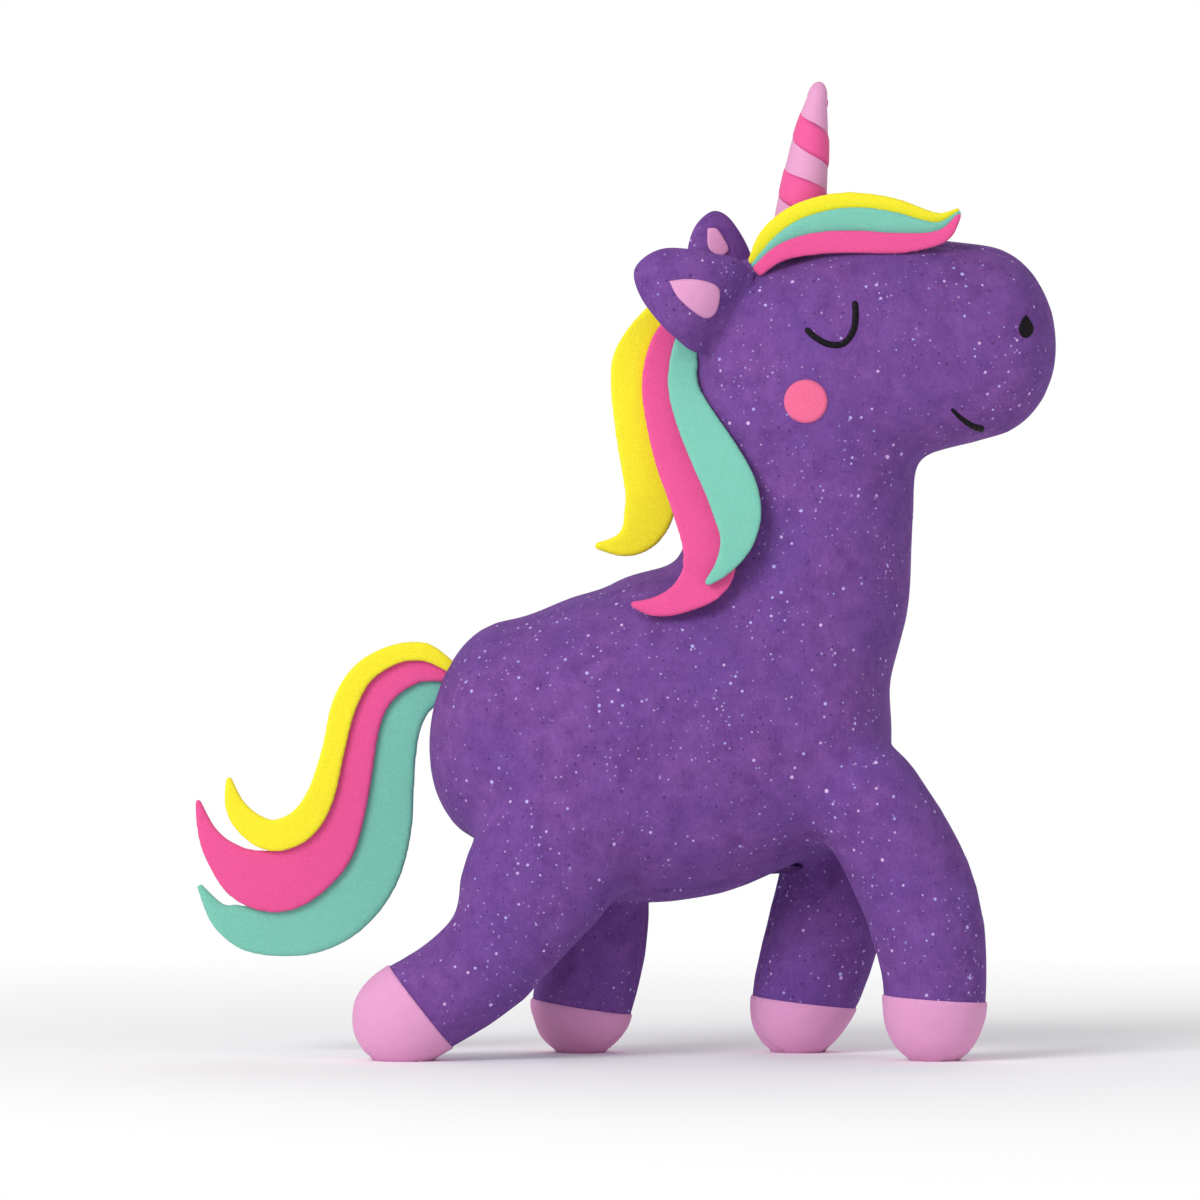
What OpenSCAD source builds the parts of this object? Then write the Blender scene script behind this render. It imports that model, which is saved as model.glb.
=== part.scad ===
// Plush unicorn: a stuffed standing toy with a sewn body, felt mane, forelock and tail, and a banded horn.
// +X points to the nose, +Y to the animal's left side and +Z up. The origin is on the floor, in the middle.

/* [Fabric] */
// Thickness of the body fabric
skin_t = 1.5; // [1:0.1:2]
// Thickness of the felt that the mane, forelock and tail are cut from
felt_t = 2; // [1.2:0.1:2]

/* [Stance] */
// Distance from the middle plane to the middle of a leg
leg_y = 22; // [21:0.5:23]

/* [Face] */
// Radius of a cheek patch
cheek_r = 6.5; // [5:0.5:8]
// Width of the closed eye's stitching
eye_w = 2; // [1.2:0.1:2.4]

/* [Horn] */
// Turns that the ribbon makes as it winds up the horn
ribbon_turns = 2; // [1.5:0.25:3]
// Thickness of that ribbon
ribbon_t = 0.8; // [0.5:0.1:1]

/* [Hidden] */

purple = "#6f4799";
pink = "#ea5a9c";
pale_pink = "#e2a0cb";
yellow = "#f7e736";
teal = "#7cc6b2";
coral = "#f4688c";
black = "#120c1c";
white = "#f4f2ee";

air = 0.1;           // between two layers that are sewn together
hip_gap = 0.8;       // round a leg as it swings
neck_gap = 0.8;      // round the ball in the neck
mane_gap = 0.5;      // between the mane and the head
stitch_h = 0.6;      // how far stitches stand proud
ear_skin_t = 1;
horn_skin_t = 0.8;
open_foot = 8;       // how far a cover's inner form runs on below it
far = 400;           // longer than the toy
belly_half_w = 17;
belly_z = 84;
forehead_half_w = 9;
forehead_z = 214;
ear_caps = [1, 4];

// Each soft form is a list of stations along its middle line: [x, y, z, half depth, half width across].
torso = [[-38, 0, 97, 34, 31], [-20, 0, 95.6, 42.5, 36], [0, 0, 96.5, 48.2, 38],
         [20, 0, 99.5, 48.5, 38], [40, 0, 103, 44, 37], [57, 0, 104, 41.5, 35]];
neck = [[46, 0, 118, 33, 33], [50, 0, 140, 35, 30], [52.3, 0, 155, 33.2, 27.5], [53.3, 0, 170, 32.8, 26.5],
        [52.8, 0, 185, 33, 26.5], [53, 0, 200, 34, 26.5], [52, 0, 212, 32, 26]];
head = [[34, 0, 220, 21, 20], [48, 0, 214, 29.5, 26], [62, 0, 212, 32, 28], [80, 0, 212, 33, 28],
        [95, 0, 214, 31, 26.5], [106, 0, 215.5, 29, 24.5]];

// Legs run from the hip to the hoof: [name, side, stations, swing limits, hoof edge]. A station is
// [x, z, half depth], and a hoof edge is [x, z, slope in degrees].
legs = [
    ["front_right", -1, [[74, 78, 18.5], [83.5, 60, 18.7], [89.5, 41, 17], [92, 26, 15.5], [92, 15, 15]],
        [-10, 12], [92, 19.5, -4]],
    ["front_left", 1, [[68, 74, 18], [64, 56, 17], [59.5, 36, 17], [54.5, 20, 16.2], [52.5, 14.5, 15]],
        [-10, 12], [52, 15.5, -7]],
    ["rear_right", -1, [[-16, 66, 21], [-27, 50, 20], [-38, 35, 17.2], [-51, 22.4, 15], [-66, 13.8, 15]],
        [-12, 6], [-60.6, 15.2, -52]],
    ["rear_left", 1, [[-10, 68, 18], [-9, 48, 16.5], [-10, 32, 15.8], [-12.5, 20.4, 15.4], [-13.5, 14.8, 15]],
        [-12, 10], [-14, 14, -9]]
];
leg_half_w = 14.8;
hip_half_w = 15.5;
hoof_cap = 16.2;

neck_pivot = [53, 0, 150];
neck_ball_r = 38;

// The right ear lies back along the head, and the left ear points up.
ear_right = [[29, -25.5, 227, 15, 3.2], [20, -25.5, 230, 13.5, 3.6], [12, -25.5, 232, 10, 3.6],
             [7, -25.5, 233.5, 7, 3]];
ear_left = [[27, 25, 228, 10, 3.2], [27.5, 24, 237, 10.4, 3.6], [27.2, 22, 245, 9.2, 3.4],
            [26.8, 20.5, 249.3, 7, 3]];

horn = [[51.2, 0, 245, 8, 8], [52.6, 0, 256, 7, 7], [54, 0, 267, 6.2, 6.2], [55.5, 0, 278, 4.8, 4.8],
        [57, 0, 286, 3.2, 3.2]];
horn_tip = 6;
strand_steps = 4;    // rings from one point of a strand's line to the next
ribbon_start = 0.102;  // in parts of the horn's length
ribbon_end = 0.892;
horn_sides = 16;
half_side = 180 / horn_sides;
ribbon_angle = 180 - 11 * half_side;  // where it starts, on an edge of the horn's facets

// Felt strands: [x, y, z, half width]. Each lies beside its neighbour, a felt thickness and some air away.
mane_yellow_line = [[15.5, -3, 226, 4], [11, -3.6, 223, 4.6], [5.8, -4, 217.5, 4.8], [2, -4.2, 210, 5.8],
    [1.2, -4.6, 202, 6], [3.3, -5.4, 186, 6.4], [6.8, -6.4, 171, 7.4], [6.6, -6.8, 163.3, 7.4],
    [3.6, -7, 157, 5.9], [-1.6, -7, 153.6, 3.5], [-9.6, -7, 153.4, 0.7]];
mane_pink_line = [[18, -6.6, 222.5, 3.6], [15.5, -7, 219.5, 4.2], [11.8, -7.4, 213.5, 4.7],
    [9.4, -8, 205, 4.6],
    [9.8, -9.5, 196, 4.9], [14, -14.5, 180.5, 5.9], [20.2, -22.5, 166, 7], [24.4, -29.5, 153.5, 7.8],
    [23.4, -32.2, 144.8, 7.6], [16.4, -33, 138.4, 4.6], [8.4, -33, 135.7, 2.9], [1.2, -33, 136.6, 0.7]];
mane_teal_line = [[20.5, -9.8, 217.5, 3.6], [18.5, -10.2, 214.5, 4], [17, -11, 208, 4.2],
    [17, -13, 200.5, 4.6],
    [20.2, -18, 192, 5.8], [26, -24.6, 181, 7.2], [31, -29, 171, 7.7], [33, -32, 162.6, 7],
    [32.8, -34.2, 156, 5.2], [30.8, -35.2, 151, 3.7], [27.8, -35.6, 146.6, 2.3], [23.4, -35.6, 142.4, 0.7]];
forelock_yellow_line = [[37.4, -11.2, 237.6, 1.5], [42, -11.2, 245.4, 2.8], [48.8, -11.2, 251.4, 3],
    [57.3, -11.2, 255, 2.9], [67.2, -11.2, 256.2, 3], [79.4, -11.2, 254.3, 3.2], [89.2, -11.2, 251.5, 2.5],
    [94.4, -11.2, 251.4, 1.6], [99.6, -11.2, 254.2, 0.6]];
forelock_teal_line = [[38, -13.5, 236.4, 1.5], [46.6, -13.5, 244.6, 2.6], [55, -13.5, 248.9, 3.3],
    [67.2, -13.5, 250.8, 3.9], [79.5, -13.5, 249.4, 3.9], [88, -13.5, 247.9, 3],
    [94.4, -13.5, 248.7, 1.8], [99.6, -13.5, 253.4, 0.6]];
forelock_pink_line = [[38.6, -15.8, 235.2, 1.7], [45.5, -15.8, 240.8, 2.4], [55, -15.8, 243.6, 3.2],
    [67, -15.8, 244.4, 3.3], [80, -15.8, 243.9, 3.1], [90, -15.8, 244.8, 2.3],
    [95.6, -15.8, 247, 1.8], [99.4, -15.8, 252.6, 0.6]];
tail_yellow_line = [[-52, -2.3, 116.4, 1.6], [-60.2, -2.3, 121.4, 2.7], [-69.4, -2.3, 120.8, 2.9],
    [-79, -2.3, 115.2, 3.4], [-84.8, -2.3, 105.3, 3.7], [-88, -2.3, 92, 3.4], [-91.8, -2.3, 78.4, 4.1],
    [-97.6, -2.3, 69.6, 4.7], [-106, -2.3, 66.4, 4.7], [-113.2, -2.3, 69.8, 4], [-117.6, -2.3, 75.6, 2.9],
    [-119.4, -2.3, 84, 0.7]];
tail_pink_line = [[-52.4, 0, 114, 1.8], [-62, 0, 116.6, 4.3], [-70.8, 0, 113.8, 5.6], [-77, 0, 107.6, 6],
    [-80.4, 0, 98.6, 6.1], [-83, 0, 85.2, 6.6], [-86.2, 0, 71.8, 7.3], [-91.6, 0, 61.4, 8.8],
    [-103, 0, 53, 9.5], [-113.4, 0, 54.2, 8.4], [-121, 0, 60, 5.3], [-125.8, 0, 67, 2.9],
    [-128.8, 0, 77, 0.7]];
tail_teal_line = [[-53, 2.3, 111, 2.6], [-58.6, 2.3, 110.2, 4.9], [-65, 2.3, 106.2, 6.4],
    [-69.2, 2.3, 98.6, 7.2], [-71.3, 2.3, 86.4, 7.7], [-73.3, 2.3, 69.2, 8.8], [-77.6, 2.3, 55, 9.2],
    [-86, 2.3, 44.2, 9],
    [-97, 2.3, 38.4, 8.2], [-110.6, 2.3, 37.8, 7.2], [-118.6, 2.3, 40.4, 5.4], [-123.4, 2.3, 43.6, 3],
    [-128.4, 2.3, 51.2, 0.7]];

eye_line = [[53.4, 218.4], [56.4, 215.6], [60.4, 213.6], [64.6, 213.9], [67.4, 217.6], [68, 222.4],
    [67.8, 226.4]];
smile_line = [[97, 194.4], [100, 191.6], [103.6, 189.2], [106.4, 188.4]];
nostril = [120, 218.7];
cheek = [53.4, 196.5];

// Smooth curve through the points of a list, as many steps a span
function spline(p, i, t) =
    let (a = p[max(i - 1, 0)], b = p[i], c = p[i + 1], d = p[min(i + 2, len(p) - 1)])
    0.5 * (2 * b + (c - a) * t + (2 * a - 5 * b + 4 * c - d) * t * t + (3 * b - a - 3 * c + d) * t * t * t);
function smooth_line(p, steps) = concat(
    [for (i = [0 : len(p) - 2]) for (j = [0 : steps - 1]) spline(p, i, j / steps)], [p[len(p) - 1]]);
function unit(v) = v / norm(v);
function power(v, e) = sign(v) * pow(abs(v), e);
function xyz(s) = [s[0], s[1], s[2]];

// One ring of a form: centre, direction along the form, half depth, half width, how square it is
function ring(c, along, a, b, sides, square) =
    let (up = unit(cross(along, [0, 1, 0])), side = cross(along, up))
    [for (k = [0 : sides - 1]) let (t = 360 * (k + 0.5) / sides)
        c + up * a * power(cos(t), 2 / square) + side * b * power(sin(t), 2 / square)];

// A soft form swept through its stations, with a rounded cap of a given length on each end.
// thinner takes that much off all round, which makes the form that lies under a layer.
module form(stations, caps, sides = 16, steps = 2, thinner = 0, square = 2.2, cap_rings = 3) {
    line = smooth_line(stations, steps);
    last = len(line) - 1;
    dirs = [for (i = [0 : last]) unit(xyz(line[min(i + 1, last)]) - xyz(line[max(i - 1, 0)]))];
    middle = [for (i = [0 : last])
        ring(xyz(line[i]), dirs[i], line[i][3] - thinner, line[i][4] - thinner, sides, square)];
    function cap(i, out, length) = [for (j = [1 : cap_rings - 1]) let (u = 90 * j / cap_rings)
        ring(xyz(line[i]) + out * (length - thinner) * sin(u), dirs[i],
            (line[i][3] - thinner) * cos(u), (line[i][4] - thinner) * cos(u), sides, square)];
    start_cap = cap(0, -dirs[0], caps[0]);
    start_rings = [for (j = [len(start_cap) - 1 : -1 : 0]) start_cap[j]];
    rings = concat(start_rings, middle, cap(last, dirs[last], caps[1]));
    n = len(rings);
    points = concat([for (r = rings) for (p = r) p],
        [xyz(line[0]) - dirs[0] * (caps[0] - thinner), xyz(line[last]) + dirs[last] * (caps[1] - thinner)]);
    function at(i, k) = i * sides + k % sides;
    polyhedron(points, concat(
        [for (i = [0 : n - 2]) for (k = [0 : sides - 1]) for (f = [
            [at(i, k), at(i + 1, k + 1), at(i, k + 1)], [at(i, k), at(i + 1, k), at(i + 1, k + 1)]]) f],
        [for (k = [0 : sides - 1]) [n * sides, at(0, k), at(0, k + 1)]],
        [for (k = [0 : sides - 1]) [n * sides + 1, at(n - 1, k + 1), at(n - 1, k)]]));
}

// Children cut and joined as one closed mesh
module one_mesh() { resize([0, 0, 0]) union() children(); }

module turned_about(pivot, turn) { translate(pivot) rotate(turn) translate(-pivot) children(); }

// Everything on one side of a plane through a point; unturned, what is above it
module half_space(point, turn = [0, 0, 0]) {
    translate(point) rotate(turn) translate([-far, -far, 0]) cube([2 * far, 2 * far, far]);
}
module below(z) { half_space([0, 0, z], [180, 0, 0]); }

// What lies further to one side than y: side is -1 for the right and 1 for the left
module beyond(side, y) { half_space([0, side * y, 0], [-side * 90, 0, 0]); }

// --- Body and head ---

module body_form(thinner = 0) {
    form(torso, [21, 22], thinner = thinner);
    form(neck, [14, 14], thinner = thinner);
}

module head_form(thinner = 0) {
    form(neck, [14, 14], thinner = thinner);
    form(head, [14, 23], thinner = thinner);
}

module neck_ball(r) { translate(neck_pivot) sphere(r = r, $fn = 24); }

// The body ends in a ball inside the neck, and the head fits over it, so that the neck can bend.
module below_neck() {
    intersection() {
        union() children();
        union() {
            below(neck_pivot[2]);
            neck_ball(neck_ball_r);
        }
    }
}

module above_neck() {
    difference() {
        union() children();
        below(neck_pivot[2]);
        neck_ball(neck_ball_r + neck_gap);
    }
}

function leg_stations(leg) = [for (i = [0 : len(leg[2]) - 1]) let (s = leg[2][i])
    [s[0], leg[1] * leg_y, s[1], s[2], i == 0 ? hip_half_w : leg_half_w]];

module leg_form(leg, thinner = 0) {
    form(leg_stations(leg), [leg[2][0][2], hoof_cap], sides = 14, thinner = thinner);
}

// Room in the body for a leg as it swings about its hip
module hip_room(leg) {
    s = leg_stations(leg);
    hull() for (angle = [leg[3][0], 0, leg[3][1]])
        turned_about(xyz(s[0]), [0, angle, 0])
            form([s[0], s[1], s[2]], [leg[2][0][2], hoof_cap], sides = 14, steps = 1, thinner = -hip_gap);
}

module tail_room() { translate([-60, 0, 113]) scale([1, 0.8, 1.15]) sphere(r = 12.5, $fn = 16); }

module without_hips() {
    difference() {
        union() children();
        for (leg = legs) hip_room(leg);
        tail_room();
    }
}

module torso_stuffing() { color(white) one_mesh() without_hips() below_neck() body_form(skin_t + air); }

module body_skin() {
    without_hips() difference() {
        below_neck() body_form();
        body_form(skin_t);
    }
}

module belly_block(grow = 0) {
    difference() {
        below(belly_z + grow);
        beyond(-1, belly_half_w + grow);
        beyond(1, belly_half_w + grow);
    }
}

module side_panel(side) {
    color(purple) one_mesh() difference() {
        intersection() {
            body_skin();
            beyond(side, air / 2);
        }
        belly_block(air);
    }
}

module belly_panel() {
    color(purple) one_mesh() intersection() {
        body_skin();
        belly_block();
    }
}

module head_stuffing() { color(white) one_mesh() above_neck() head_form(skin_t + air); }

module head_skin() {
    above_neck() difference() {
        head_form();
        head_form(skin_t);
    }
}

module forehead_block(grow = 0) {
    difference() {
        half_space([0, 0, forehead_z - grow]);
        beyond(-1, forehead_half_w + grow);
        beyond(1, forehead_half_w + grow);
    }
}

module face_panel(side) {
    color(purple) one_mesh() difference() {
        intersection() {
            head_skin();
            beyond(side, air / 2);
        }
        forehead_block(air);
    }
}

module forehead_panel() {
    color(purple) one_mesh() intersection() {
        head_skin();
        forehead_block();
    }
}

// --- Face ---

// A piece of a given thickness that lies on the head, in the outline that its children draw from the side
module on_face(side, thick) {
    one_mesh() intersection() {
        difference() {
            head_form(-air - thick);
            head_form(-air);
        }
        mirror([0, side > 0 ? 1 : 0, 0]) translate([0, -2, 0]) rotate([90, 0, 0])
            linear_extrude(60) children();
    }
}

// A rounded line of stitches, as wide at each end as two widths say
module stitch_line(points, start_w, end_w) {
    line = smooth_line(points, 2);
    last = len(line) - 1;
    for (i = [0 : last - 1]) hull() for (j = [i, i + 1])
        translate(line[j]) circle(d = start_w + (end_w - start_w) * j / last, $fn = 8);
}

module eye_stitching(side) { color(black) on_face(side, stitch_h) stitch_line(eye_line, eye_w, eye_w); }
module smile_stitching(side) { color(black) on_face(side, stitch_h) stitch_line(smile_line, 1, 2.4); }
module nostril_stitching(side) {
    color(black) on_face(side, stitch_h) hull() {
        translate(nostril - [0, 1.2]) circle(d = 3.9, $fn = 12);
        translate(nostril + [0, 2.9]) circle(d = 0.8, $fn = 6);
    }
}
module cheek_patch(side) { color(coral) on_face(side, 1) translate(cheek) circle(r = cheek_r, $fn = 20); }

// --- Legs ---

module hoof_side(leg, grow = 0) {
    turned_about([leg[4][0], 0, leg[4][1]], [0, -leg[4][2], 0]) below(leg[4][1] + grow);
}

module leg_cover(leg) {
    color(purple) one_mesh() difference() {
        leg_form(leg);
        leg_form(leg, skin_t);
        hoof_side(leg, air);
    }
}

module leg_stuffing(leg) {
    color(white) one_mesh() difference() {
        leg_form(leg, skin_t + air);
        below(skin_t + air);
    }
}

module hoof(leg) {
    color(pale_pink) one_mesh() difference() {
        intersection() {
            leg_form(leg);
            hoof_side(leg);
        }
        difference() {
            leg_form(leg, skin_t);
            below(skin_t);
        }
        below(0);
    }
}

// --- Ears ---

// The cover is open where it is sewn to the head.
module ear_cover(stations) {
    color(purple) one_mesh() difference() {
        form(stations, ear_caps, sides = 14);
        form(stations, [open_foot, ear_caps[1]], sides = 14, thinner = ear_skin_t);
    }
}
module ear_padding(stations) {
    color(white) one_mesh() form(stations, ear_caps, sides = 14, thinner = ear_skin_t + air);
}

// The felt inside an ear lies on the face that looks to the right.
module ear_lining(stations, inset) {
    small = [for (i = [0 : 2]) let (s = stations[i]) [s[0], s[1] - 1.2, s[2], s[3] - inset, s[4]]];
    color(pale_pink) one_mesh() difference() {
        intersection() {
            form(small, [-4, 4], sides = 14);
            form(stations, ear_caps, sides = 14, thinner = -air - 1);
        }
        form(stations, ear_caps, sides = 14, thinner = -air);
        half_space([0, stations[0][1], 0], [-90, 0, 0]);
    }
}

// --- Horn ---

module horn_form(thinner = 0, foot = 1) {
    form(horn, [foot, horn_tip], sides = horn_sides, square = 2, thinner = thinner);
}

// The cover is open at its foot, where it is sewn to the head.
module horn_cover() {
    color(pale_pink) one_mesh() difference() {
        horn_form();
        horn_form(horn_skin_t, foot = open_foot);
    }
}
module horn_stuffing() { color(white) one_mesh() horn_form(horn_skin_t + air); }

function horn_at(u) =
    let (spans = len(horn) - 1, i = min(floor(u * spans), spans - 1)) spline(horn, i, u * spans - i);
function round_horn(u, angle, h) =
    let (s = horn_at(u)) xyz(s) + (s[3] + h) * [cos(angle), sin(angle), 0];

// The ribbon winds up the horn clockwise as seen from the tip, and covers half of it.
module horn_ribbon() {
    steps = round(horn_sides * ribbon_turns);
    half_band = (ribbon_end - ribbon_start) / ribbon_turns / 4;
    color(pink) one_mesh() difference() {
        tube([for (i = [0 : steps])
            let (u = ribbon_start + (ribbon_end - ribbon_start) * i / steps,
                angle = ribbon_angle - 360 * ribbon_turns * i / steps)
            [for (corner = [[-1, 0], [1, 0], [1, 1], [-1, 1]])
                round_horn(u + corner[0] * half_band, angle, air + corner[1] * ribbon_t)]]);
        horn_form(-air);
    }
}

// --- Felt strands ---

// A solid through rings of points, closed flat at both ends
module tube(rings) {
    sides = len(rings[0]);
    last = len(rings) - 1;
    function at(i, k) = i * sides + k % sides;
    polyhedron([for (r = rings) for (p = r) p], concat(
        [for (i = [0 : last - 1]) for (k = [0 : sides - 1]) for (f = [
            [at(i, k), at(i, k + 1), at(i + 1, k + 1)], [at(i, k), at(i + 1, k + 1), at(i + 1, k)]]) f],
        [[for (k = [sides - 1 : -1 : 0]) at(0, k)]],
        [[for (k = [0 : sides - 1]) at(last, k)]]));
}

// A strand of felt, flat from side to side, that bends as its line does
module strand(stations) {
    line = smooth_line(stations, strand_steps);
    last = len(line) - 1;
    rings = [for (i = [0 : last])
        let (along = xyz(line[min(i + 1, last)]) - xyz(line[max(i - 1, 0)]),
            edge = unit(cross(along, [0, 1, 0])) * line[i][3],
            half = [0, felt_t / 2, 0])
        [xyz(line[i]) - edge - half, xyz(line[i]) + edge - half,
            xyz(line[i]) + edge + half, xyz(line[i]) - edge + half]];
    tube(rings);
}

// The mane's strands stop where they reach the head.
module mane_strand(stations) {
    one_mesh() difference() {
        strand(stations);
        head_form(-mane_gap);
    }
}

torso_stuffing();
side_panel(-1);  // side_panel_right
side_panel(1);  // side_panel_left
belly_panel();
head_stuffing();
face_panel(-1);  // face_panel_right
face_panel(1);  // face_panel_left
forehead_panel();
eye_stitching(-1);  // eye_stitching_right
eye_stitching(1);  // eye_stitching_left
nostril_stitching(-1);  // nostril_right
nostril_stitching(1);  // nostril_left
smile_stitching(-1);  // smile_stitching_right
smile_stitching(1);  // smile_stitching_left
cheek_patch(-1);  // cheek_patch_right
cheek_patch(1);  // cheek_patch_left
leg_cover(legs[0]);  // leg_cover_front_right
leg_cover(legs[1]);  // leg_cover_front_left
leg_cover(legs[2]);  // leg_cover_rear_right
leg_cover(legs[3]);  // leg_cover_rear_left
leg_stuffing(legs[0]);  // leg_stuffing_front_right
leg_stuffing(legs[1]);  // leg_stuffing_front_left
leg_stuffing(legs[2]);  // leg_stuffing_rear_right
leg_stuffing(legs[3]);  // leg_stuffing_rear_left
hoof(legs[0]);  // hoof_front_right
hoof(legs[1]);  // hoof_front_left
hoof(legs[2]);  // hoof_rear_right
hoof(legs[3]);  // hoof_rear_left
ear_cover(ear_right);  // ear_cover_right
ear_cover(ear_left);  // ear_cover_left
ear_padding(ear_right);  // ear_padding_right
ear_padding(ear_left);  // ear_padding_left
ear_lining(ear_right, 6.5);  // ear_lining_right
ear_lining(ear_left, 5.5);  // ear_lining_left
horn_cover();
horn_stuffing();
horn_ribbon();
color(yellow) mane_strand(mane_yellow_line);  // mane_yellow
color(pink) mane_strand(mane_pink_line);  // mane_pink
color(teal) mane_strand(mane_teal_line);  // mane_teal
color(yellow) strand(forelock_yellow_line);  // forelock_yellow
color(teal) strand(forelock_teal_line);  // forelock_teal
color(pink) strand(forelock_pink_line);  // forelock_pink
color(yellow) strand(tail_yellow_line);  // tail_yellow
color(pink) strand(tail_pink_line);  // tail_pink
color(teal) strand(tail_teal_line);  // tail_teal
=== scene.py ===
import math

import bmesh
import bpy
import numpy as np
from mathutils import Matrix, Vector
from mathutils.bvhtree import BVHTree


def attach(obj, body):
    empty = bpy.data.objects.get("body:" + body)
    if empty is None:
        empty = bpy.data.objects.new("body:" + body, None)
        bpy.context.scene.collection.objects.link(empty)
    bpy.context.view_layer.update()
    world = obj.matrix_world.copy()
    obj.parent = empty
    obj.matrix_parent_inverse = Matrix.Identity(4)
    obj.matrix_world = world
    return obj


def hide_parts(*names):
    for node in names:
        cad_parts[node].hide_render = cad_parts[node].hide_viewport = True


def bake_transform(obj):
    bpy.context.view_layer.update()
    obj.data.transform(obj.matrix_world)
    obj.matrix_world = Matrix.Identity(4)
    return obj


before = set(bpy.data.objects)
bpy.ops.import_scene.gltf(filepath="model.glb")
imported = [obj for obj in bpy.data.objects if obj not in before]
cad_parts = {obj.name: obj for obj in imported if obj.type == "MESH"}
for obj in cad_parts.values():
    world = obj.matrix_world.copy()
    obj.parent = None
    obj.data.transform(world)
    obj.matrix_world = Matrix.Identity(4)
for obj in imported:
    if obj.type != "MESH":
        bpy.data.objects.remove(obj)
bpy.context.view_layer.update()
MM = 0.001
scene = bpy.context.scene

# ---------------------------------------------------------------- the toy's own measures, in millimetres
# A form is a list of stations along its middle line: x, y, z, half depth, half width across.
TORSO = [(-37, 0, 97.4, 33.8, 31), (-20, 0, 95.2, 43, 36), (0, 0, 94, 48, 38),
         (20, 0, 97.8, 49.4, 38), (40, 0, 101.5, 45.2, 37), (57, 0, 104, 41.5, 35)]
NECK = [(46, 0, 118, 33, 33), (50, 0, 140, 35, 30), (52.3, 0, 155, 33.2, 27.5),
        (53.3, 0, 170, 32.8, 26.5), (52.8, 0, 185, 33.2, 26.5), (53, 0, 200, 34, 26.5),
        (52, 0, 212, 32, 26)]
HEAD = [(34, 0, 220, 21, 20), (48, 0, 214, 29.5, 26), (62, 0, 212, 32, 28), (80, 0, 212.8, 33, 28),
        (95, 0, 213.8, 31.2, 26.5), (106, 0, 214.6, 29.3, 24.5)]
LEG_Y = 22
# A leg's stations are x, z and half depth; its cut and its hoof's edge are planes across it.
LEGS = {
    "front_right": dict(side=-1, hoof=(92, 18.6, -4), cut=(85, 54), axis=(0.2, -0.98),
                        stations=[(71.5, 79, 16.4), (82.1, 60, 17.8), (89.4, 41, 17.2), (91.7, 26, 15.8),
                                  (91.8, 15, 15.3)]),
    "front_left": dict(side=1, hoof=(52, 15.5, -7), cut=(64, 54), axis=(-0.22, -0.975),
                       stations=[(68, 74, 18), (64, 56, 17.2), (59.5, 36, 17.3), (54.5, 20, 16.5),
                                 (52.5, 14.5, 15.3)]),
    "rear_right": dict(side=-1, hoof=(-60.6, 15.2, -52), cut=(-27, 48), axis=(-0.62, -0.785),
                       stations=[(-17.5, 68, 22), (-28.4, 51, 22), (-36.9, 35, 16.7), (-51, 22.4, 15.4),
                                 (-66, 13.8, 15.3)]),
    "rear_left": dict(side=1, hoof=(-14, 14, -9), cut=(-9, 46), axis=(-0.04, -0.999),
                      stations=[(-10, 68, 18), (-9, 48, 16.7), (-10, 32, 16.1), (-12.5, 20.4, 15.7),
                                (-13.5, 14.8, 15.3)]),
}
LEG_REACH = 3.5             # how far past its half depth a leg's skin may lie from its middle line
LEG_HALF_W, HIP_HALF_W = 14.8, 15.5
NECK_CUT = 152.0            # height of the edge between the torso's skin and the head's
CUT_BAND = 6                # a cut goes only through faces that are nearer to it than this
HOOF_UNDERLAP = 2.5         # how far the leg's cloth runs on inside the felt hoof
HOOF_ROLL = 0.7             # width of the hoof's rolled edge
SOLE_DEPTH = 0.8            # felt lower than this lies flat on the floor
SKIN_LOWEST = 1.2           # the cloth inside the hooves ends this far above the floor

SKIN_VOXEL, STRAND_VOXEL = 2.6, 0.62
SKIN_SWELL, STRAND_SWELL = 0.35, 0.12       # puts back what smoothing takes off
FILL_PRESSURE = 3.0
SKIN_PUFF, EAR_PUFF = 1.6, 0.8              # the most that the filling moves the cloth
SEAM_W, SEAM_DEPTH, STITCH_STEP = 1.1, 0.9, 3.4
CREASE_W, CREASE_DEPTH = 4, 0.7
LUMP = 0.35                                 # how uneven the loose fill leaves the cloth
# Where a leg folds against the belly: two x, z points and the side of the toy.
HIP_FOLDS = (((-26, 23), (4, 44), -1), ((52, 64), (70, 42), -1),
             ((8, 47), (-20, 49), 1), ((47, 58), (74, 60), 1))


# ---------------------------------------------------------------- mesh helpers
def smooth_line(points, steps):
    p = np.asarray(points, float)
    out = []
    for i in range(len(p) - 1):
        a, b, c, d = p[max(i - 1, 0)], p[i], p[i + 1], p[min(i + 2, len(p) - 1)]
        for j in range(steps):
            t = j / steps
            square = 2 * a - 5 * b + 4 * c - d
            cube = 3 * b - a - 3 * c + d
            out.append(0.5 * (2 * b + (c - a) * t + square * t**2 + cube * t**3))
    return np.array(out + [p[-1]])


def unit(v):
    return v / np.maximum(np.linalg.norm(v, axis=-1, keepdims=True), 1e-12)


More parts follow.
